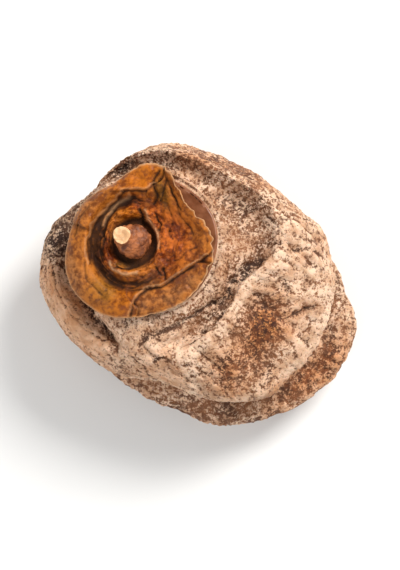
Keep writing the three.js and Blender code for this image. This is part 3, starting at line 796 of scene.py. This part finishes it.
def calyx_rows():
    """The calyx's upper and lower rows, where its veins are, and masks of the shade painted in its
    hollows and folds and the highlights painted on its ridges and edges.
    """
    turn = np.arange(CALYX_SIDES) / CALYX_SIDES
    rings = np.stack([ring_points(ring, turn) for ring in CALYX_RINGS])
    middle = np.broadcast_to([*STALK_PLACE, CALYX_RINGS[0]["height"][0]], rings[:1].shape)
    places = np.append(row_places(CALYX_ROWS), float(CALYX_RIM))
    upper = through(np.concatenate([middle, rings]), places)
    plain_lift = upper[..., 2].copy()
    flat = upper * (1, 1, 0.4)
    at_edge = bell(places - CALYX_RIM, 0.35)[:, None]
    outer = smoothstep(places, 3, 5)[:, None]
    upper[..., 2] += SEPAL_STEP * outer * sepal_step(turn)[None, :]

    # Wrinkles: veins that run outwards, and crumples in the inner ring and on the standing sepal
    angle = TAU * turn[None, :] + 0.1 * cloud(flat, 4, 61)
    reach = places[:, None] * np.ones_like(angle)
    veins = wrapped(angle, 16, 0.8 * reach)
    coils = wrapped(angle, 2.2, 3.2 * reach)
    standing = np.cos(angle - math.radians(18)) * 0.5 + 0.5
    ring = smoothstep(reach, 1.2, 1.8) * (1 - smoothstep(reach, 3.0, 3.8))
    band = smoothstep(reach, 3.6, 4.4)
    upper[..., 2] += 0.45 * ring * cloud(flat, 2.0, 62, 3)
    upper[..., 2] -= 0.4 * ring * (1 - crease(coils, 1, 63))
    crumples = (0.4 * standing + 0.14) * smoothstep(reach, 2.6, 3.6) * (1 - at_edge)
    upper[..., 2] += crumples * cloud(flat, 2.6, 64, 3)
    upper[..., 2] -= 0.03 * band * (1 - crease(veins, 1, 65))
    upper[..., 2] -= 0.3 * standing * smoothstep(reach, 2.8, 3.6) * (1 - crease(flat, 3.2, 66))
    felt = wander(flat, 0.3, 1.8, 75)
    felt[..., 2] = 0
    dark, pale = np.zeros_like(reach), np.zeros_like(reach)
    for depth, width, shade, path in CALYX_FOLDS:
        away = distance_to(plan_line(path), felt)
        upper[..., 2] -= depth * np.exp(-away / width)
        mark = abs(shade) * bell(away, 0.9 * width)
        dark = np.maximum(dark, mark * (shade > 0))
        pale = np.maximum(pale, mark * (shade < 0))
    for lift, fade, path in CALYX_LAPS:
        away, side = distance_to(plan_line(path), felt), side_of(plan_line(path), felt)
        upper[..., 2] += lift * np.exp(-away / fade) * smoothstep(side * away, -0.05, 0.2)
        # Painted shadow just below each lapped edge
        dark = np.maximum(dark, bell(away, 0.4) * smoothstep(side * away, 0.1, -0.1))
        # Painted highlight along the top of each lapped edge
        pale = np.maximum(pale, 0.4 * bell(side * away - 0.25, 0.15) * (side > 0))
    for height, width, place in CALYX_LUMPS:
        upper[..., 2] += height * bell(np.linalg.norm(felt[..., :2] - place, axis=-1), width)

    # The rim, torn most on the standing sepal
    rim = wrapped(TAU * turn, 9, 0 * turn)
    torn = (0.1 + 0.6 * standing[-1] ** 2) * cloud(rim, 1, 67, 3)
    upper[..., :2] *= 1 + (at_edge * torn[None, :] / 14)[..., None]
    upper[..., 2] += at_edge * (0.12 + 0.6 * standing[-1]) * cloud(rim, 1.6, 68, 2)[None, :]

    # The lower face, which rests on the collar near the middle
    thick = CALYX_THICKNESS + (RIM_THICKNESS - CALYX_THICKNESS) * smoothstep(places, 4.2, 5.8)[:, None]
    smooth = spread(upper, 3)
    beyond = 2 * smooth[-1] - smooth[-2]
    inward = row_normals(smooth, smooth[0, 0], beyond) + (0, 0, 1.5)
    inward /= np.linalg.norm(inward, axis=-1, keepdims=True)
    lower = upper - inward * thick[..., None]
    rest = collar_lift(np.linalg.norm(lower[..., :2], axis=-1)) + GAP
    resting = 1 - smoothstep(places, 3, 4.4)[:, None]
    lower[..., 2] = np.maximum(rest, lower[..., 2] * (1 - resting) + rest * resting)
    upper[..., 2] = np.maximum(upper[..., 2], lower[..., 2] + 0.25)
    # Painted shade: darkest down in the groove round the stalk and in the ditch, and in the dark folds;
    # taken off the pale ridges
    painted_hollow_shade = np.clip(smoothstep(-plain_lift, -2.8, -1.3) * (reach < 4.2) + 0.9 * dark - pale, 0, 1)
    # Painted highlight: a thin pale line along the rim, strongest on the standing sepal
    pale = np.maximum(pale, bell(reach - CALYX_RIM, 0.13) * (0.6 + 0.4 * standing))
    return upper, lower, veins, painted_hollow_shade, pale


upper, lower, veins, painted_hollow_shade, pale = calyx_rows()
both = np.concatenate([upper, lower[::-1]])
ends = np.array([[*STALK_PLACE, 1.2], [*STALK_PLACE, GAP]])
calyx = closed_skin("dried_calyx", from_crown(both), *from_crown(ends), shift)


def twice(values, under=None):
    """Values for the upper and the lower rows, with the lower the same unless one value is given."""
    below = values[::-1] if under is None else np.full_like(values, under)
    return np.concatenate([values, below])


remember(calyx, "veins", twice(veins))
# More painted shade in the hollows of the upper face, and a little over the whole lower face
hollow = np.sum((spread(upper, 3) - upper) * row_normals(upper, upper[0, 0], upper[-1, 0]), axis=-1)
remember(calyx, "painted_hollow_shade", twice(np.clip(painted_hollow_shade + 2.2 * hollow, 0, 1), 0.2))
# The pale attribute carries the painted highlight to the material
remember(calyx, "pale", twice(np.clip(pale, 0, 1), 0))
ragged = wander(upper, 0.8, 2.2, 81)
for tint, ovals in CALYX_TINTS.items():
    share = sum(oval(ragged, *where) for where in ovals)
    remember(calyx, tint, twice(np.clip(1.3 * share, 0, 1), 0.2))

# Stalk: lift and radius of each ring from its foot up
STALK_LEAN = (-1.9, 1.0)
STALK_SIDES = 96
STALK_FOOT = CALYX_RINGS[0]["height"][0] + GAP
STALK_DIP = 0.25  # how deep the cut end is hollowed
STALK_RINGS = [(0, 2.7), (0.7, 3.1), (1.7, 3.15), (2.6, 2.7), (3.2, 2.1), (3.6, 1.75), (4.1, 1.6)]


def stalk_rows():
    """The stalk's rows from its tip down, and how much of each is the pale cut."""
    turn = np.arange(STALK_SIDES) / STALK_SIDES
    height = STALK_RINGS[-1][0]
    lifts, radii = zip(*STALK_RINGS)
    rows, cut = [], []

    def row(lift, radius, dip, pale):
        share = (lift / height) ** 1.8
        ring = on_crown(radius * (1 + 0.04 * np.sin(3 * TAU * turn)), turn, STALK_FOOT + lift - dip)
        middle = [place + lean * share for place, lean in zip(STALK_PLACE, STALK_LEAN)]
        rows.append(ring + (*middle, 0))
        cut.append(np.full(STALK_SIDES, float(pale)))

    for share in (0.15, 0.35, 0.55, 0.75, 0.9):
        row(height, radii[-1] * share, STALK_DIP * (1 - share), 1 - 0.4 * bell(share - 0.4, 0.2))
    row(height, radii[-1] * 0.98, 0.02, 1)
    for lift in np.linspace(height - 0.06, 0, 44):
        row(lift, np.interp(lift, lifts, radii), 0, 0)
    rows, cut = np.stack(rows), np.stack(cut)
    middle = np.array([STALK_PLACE[0] - 0.6, STALK_PLACE[1] + 0.3, 0])
    outward = rows - middle
    outward[..., 2] = 0
    outward /= np.linalg.norm(outward, axis=-1, keepdims=True)
    lumps = 0.22 * cloud(rows, 1.5, 71, 3) - 0.22 * (1 - crease(rows * (1, 1, 0.35), 1.1, 72))
    rows += outward * (lumps * (1 - cut))[..., None]
    rows[..., 2] += 0.07 * cut * cloud(rows, 0.8, 73)
    return rows, cut, STALK_FOOT + height - STALK_DIP


rows, cut, tip_lift = stalk_rows()
tip = np.array([*np.add(STALK_PLACE, STALK_LEAN), tip_lift])
foot = np.array([*STALK_PLACE, STALK_FOOT])
stalk = closed_skin("cut_stalk", from_crown(rows), from_crown(tip), from_crown(foot), shift)
remember(stalk, "cut", cut, (1, 0))


# Materials: a dark and a light colour, or the painted shade that hollows take and the painted highlight
# that ridges take
PULP = (0.1, 0.036, 0.014), (0.26, 0.1, 0.038)
WARM_PULP = (0.055, 0.014, 0.004), (0.21, 0.058, 0.014)
# The painted shade that the bare pulp takes in tucks, creases and shadowed spots
PULP_IN_PAINTED_SHADE = (0.03, 0.012, 0.007)
SUGAR = (0.58, 0.34, 0.205), (0.9, 0.635, 0.45)
WARM_SUGAR = (0.64, 0.24, 0.065)
PEEL = (0.18, 0.057, 0.022), (0.32, 0.12, 0.05)
CALYX = (0.18, 0.045, 0.006), (0.47, 0.148, 0.018)
CALYX_PALETTE = {
    "gold": ((0.2, 0.038, 0.0), (0.49, 0.128, 0.001)),
    "red": ((0.15, 0.022, 0.004), (0.54, 0.118, 0.012)),
    "olive": ((0.1, 0.04, 0.004), (0.3, 0.115, 0.01)),
    "tan": ((0.14, 0.042, 0.01), (0.44, 0.17, 0.05)),
}
CALYX_VEIN = (0.09, 0.028, 0.008)
# Painted shade in the calyx's hollows and folds
CALYX_PAINTED_SHADE = (0.02, 0.007, 0.003)
# Painted highlight on the calyx's ridges, lapped edges and rim
CALYX_PAINTED_HIGHLIGHT = (0.66, 0.38, 0.19)
BARK = (0.12, 0.03, 0.008), (0.42, 0.13, 0.036)
CUT_WOOD = (0.7, 0.4, 0.19), (0.88, 0.57, 0.31)
FLOOR_COLOUR = (0.86, 0.86, 0.85, 1)


class Material:
    """A node tree with short names for the few nodes that the materials here are made of."""

    def __init__(self, name):
        self.made = bpy.data.materials.new(name)
        self.made.use_nodes = True
        self.nodes = self.made.node_tree.nodes
        self.links = self.made.node_tree.links
        self.shader = self.nodes["Principled BSDF"]

    def add(self, kind, inputs=(), **settings):
        node = self.nodes.new(kind)
        for key, value in settings.items():
            setattr(node, key, value)
        for key, value in dict(inputs).items():
            self.put(node.inputs[key], value)
        return node

    def put(self, socket, value):
        if isinstance(value, bpy.types.NodeSocket):
            self.links.new(value, socket)
        else:
            socket.default_value = value

    def value(self, name):
        return self.add("ShaderNodeAttribute", attribute_name=name).outputs["Fac"]

    def vector(self, name):
        return self.add("ShaderNodeAttribute", attribute_name=name).outputs["Vector"]

    def place(self):
        return self.add("ShaderNodeTexCoord").outputs["Object"]

    def noise(self, vector, scale, detail=3.0, roughness=0.6, distortion=0.0):
        inputs = {"Vector": vector, "Scale": scale, "Detail": detail}
        inputs |= {"Roughness": roughness, "Distortion": distortion}
        return self.add("ShaderNodeTexNoise", inputs).outputs["Fac"]

    def math(self, operation, a, b=0.0, c=0.0):
        return self.add("ShaderNodeMath", {0: a, 1: b, 2: c}, operation=operation).outputs[0]

    def range(self, value, low, high, to_low=0.0, to_high=1.0):
        inputs = {"Value": value, "From Min": low, "From Max": high, "To Min": to_low, "To Max": to_high}
        return self.add("ShaderNodeMapRange", inputs, interpolation_type="SMOOTHSTEP").outputs["Result"]

    def mix(self, share, a, b):
        node = self.add("ShaderNodeMix", data_type="RGBA")
        self.put(node.inputs["Factor"], share)
        for socket, colour in ((node.inputs[6], a), (node.inputs[7], b)):
            self.put(socket, (*colour, 1) if isinstance(colour, tuple) else colour)
        return node.outputs[2]

    def bump(self, height, depth, strength=1.0, under=None):
        inputs = {"Height": height, "Distance": depth, "Strength": strength}
        if under is not None:
            inputs["Normal"] = under
        return self.add("ShaderNodeBump", inputs).outputs["Normal"]

    def finish(self, colour, roughness, normal, **sockets):
        self.put(self.shader.inputs["Base Color"], colour)
        self.put(self.shader.inputs["Roughness"], roughness)
        self.put(self.shader.inputs["Normal"], normal)
        for key, value in sockets.items():
            self.put(self.shader.inputs[key.replace("_", " ")], value)
        return self.made


def flesh_material():
    m = Material("bloomed dried flesh")
    where = m.place()
    blotch = m.noise(where, 240, 5, 0.65)
    pulp = m.mix(m.range(blotch, 0.35, 0.65), *PULP)
    warm = m.mix(m.range(m.noise(where, 900, 3), 0.4, 0.6), *WARM_PULP)
    pulp = m.mix(m.value("warm"), pulp, warm)
    # Painted shade: the pulp goes nearly black where the inside attribute is high
    pulp = m.mix(m.math("MULTIPLY", m.value("inside"), 0.9), pulp, PULP_IN_PAINTED_SHADE)
    sugar = m.mix(m.range(m.noise(where, 320, 3), 0.35, 0.65), *SUGAR)
    sugar = m.mix(m.math("MULTIPLY", m.value("warm"), 0.9), sugar, WARM_SUGAR)
    crystals = m.noise(where, 2700, 3, 0.7)
    clumps = m.noise(where, 1150, 3, 0.65)
    streaks = m.noise(m.vector("flow"), 1.7, 3, 0.65)
    speckle = m.math("MULTIPLY_ADD", crystals, 4.6, m.math("MULTIPLY", clumps, 5.0))
    speckle = m.math("MULTIPLY_ADD", streaks, 1.6, speckle)
    cover = m.math("ADD", m.value("bloom"), m.math("SUBTRACT", speckle, 5.6))
    cover = m.range(cover, -0.25, 1.0)
    colour = m.mix(m.math("MULTIPLY", cover, 0.9), pulp, sugar)
    roughness = m.range(cover, 0, 1, 0.6, 0.9)
    normal = m.bump(crystals, 0.00018, 0.9)
    normal = m.bump(clumps, 0.0004, 0.7, normal)
    m.shader.inputs["Subsurface Scale"].default_value = 0.0012
    m.shader.inputs["Subsurface Radius"].default_value = (1.0, 0.45, 0.2)
    m.shader.inputs["Specular IOR Level"].default_value = 0.3
    return m.finish(colour, roughness, normal, Subsurface_Weight=0.12)


def peel_material():
    m = Material("dried peel")
    where = m.place()
    mottle = m.noise(where, 260, 4)
    colour = m.mix(m.range(mottle, 0.3, 0.7), *PEEL)
    normal = m.bump(m.noise(where, 900, 3), 0.0001, 0.6)
    return m.finish(colour, m.range(mottle, 0.3, 0.7, 0.3, 0.5), normal, Specular_IOR_Level=0.5)


def calyx_material():
    m = Material("dried calyx")
    m.shader.inputs["Specular IOR Level"].default_value = 0.18
    where = m.place()
    veins = m.noise(m.vector("veins"), 1.4, 3, 0.6)
    fibres = m.noise(m.vector("veins"), 4.5, 2, 0.6)
    blotch = m.noise(where, 260, 4, 0.65)
    mottle = m.noise(where, 1100, 3, 0.65)
    both = m.math("ADD", m.math("MULTIPLY", blotch, 0.5), m.math("MULTIPLY", mottle, 0.5))
    patches = m.range(both, 0.41, 0.6)
    colour = m.mix(patches, *CALYX)
    for name, tint in CALYX_PALETTE.items():
        colour = m.mix(m.math("MULTIPLY", m.value(name), 0.8), colour, m.mix(patches, *tint))
    colour = m.mix(m.range(veins, 0.55, 0.72, 0, 0.25), colour, CALYX_VEIN)
    # Painted shade in the hollows and folds
    colour = m.mix(m.math("MULTIPLY", m.value("painted_hollow_shade"), 0.94), colour, CALYX_PAINTED_SHADE)
    # Painted highlight on the ridges, lapped edges and rim
    colour = m.mix(m.math("MULTIPLY", m.value("pale"), 0.8), colour, CALYX_PAINTED_HIGHLIGHT)
    normal = m.bump(fibres, 0.00008, 0.5)
    normal = m.bump(mottle, 0.0002, 0.5, normal)
    normal = m.bump(blotch, 0.0005, 0.5, normal)
    gloss = m.math("MULTIPLY_ADD", m.value("painted_hollow_shade"), 0.4, m.range(patches, 0, 1, 0.36, 0.56))
    return m.finish(colour, gloss, normal)


def stalk_material():
    m = Material("cut stalk")
    where = m.place()
    bark = m.noise(where, 620, 4, 0.65)
    brown = m.mix(m.range(bark, 0.35, 0.65), *BARK)
    rings = m.noise(where, 520, 2, 0.5, 2.5)
    wood = m.mix(m.range(rings, 0.4, 0.6), *CUT_WOOD)
    colour = m.mix(m.value("cut"), brown, wood)
    return m.finish(colour, 0.6, m.bump(bark, 0.0003, 0.8))


for piece, node, slot, material in (
    (flesh, "flesh", "flesh", flesh_material()),
    (collar, "skin_collar", "skin", peel_material()),
    (calyx, "calyx", "calyx", calyx_material()),
    (stalk, "stem_stub", "stem", stalk_material()),
):
    piece.data.materials.append(material)
    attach(piece, "root")
    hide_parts(node)

# Floor, light and camera
FLOOR_REACH = 3.0
WORLD_STRENGTH = 0.5
FRAME_HEIGHT = 570  # pixels
FRUIT_WIDTH = 322  # pixels across the fruit
CAMERA_HEIGHT = 0.8

corners = [(x * FLOOR_REACH, y * FLOOR_REACH, 0) for x, y in ((-1, -1), (1, -1), (1, 1), (-1, 1))]
floor_mesh = bpy.data.meshes.new("floor")
floor_mesh.from_pydata(corners, [], [(0, 1, 2, 3)])
floor = bpy.data.objects.new("floor", floor_mesh)
bpy.context.collection.objects.link(floor)
paper = Material("pale floor")
floor_mesh.materials.append(paper.made)
paper.shader.inputs["Base Color"].default_value = FLOOR_COLOUR
paper.shader.inputs["Roughness"].default_value = 0.7

middle = (cad_box[0] + cad_box[1]) / 2


def light(name, place, size, power, colour):
    """A square lamp at a place from the middle of the fruit, that looks at the fruit."""
    data = bpy.data.lights.new(name, "AREA")
    data.size = size
    data.energy = power
    data.color = colour
    lamp = bpy.data.objects.new(name, data)
    lamp.location = middle + Vector(place)
    lamp.rotation_euler = (-Vector(place)).to_track_quat("-Z", "Y").to_euler()
    bpy.context.collection.objects.link(lamp)


light("window", place=(0.34, 0.4, 0.5), size=0.3, power=6.2, colour=(1, 0.98, 0.95))
light("fill", place=(-0.5, -0.3, 0.6), size=0.6, power=2.5, colour=(0.98, 0.99, 1))
world = bpy.data.worlds.new("studio")
bpy.context.scene.world = world
world.use_nodes = True
world.node_tree.nodes["Background"].inputs["Color"].default_value = (1, 1, 1, 1)
world.node_tree.nodes["Background"].inputs["Strength"].default_value = WORLD_STRENGTH
bpy.context.scene.view_settings.view_transform = "Standard"

camera = bpy.data.cameras.new("camera")
camera.sensor_width = 36
pixel = (cad_box[1].x - cad_box[0].x) / FRUIT_WIDTH
camera.lens = camera.sensor_width * (CAMERA_HEIGHT - middle.z) / (pixel * FRAME_HEIGHT)
eye = bpy.data.objects.new("camera", camera)
eye.location = (middle.x, middle.y, CAMERA_HEIGHT)
bpy.context.collection.objects.link(eye)
bpy.context.scene.camera = eye
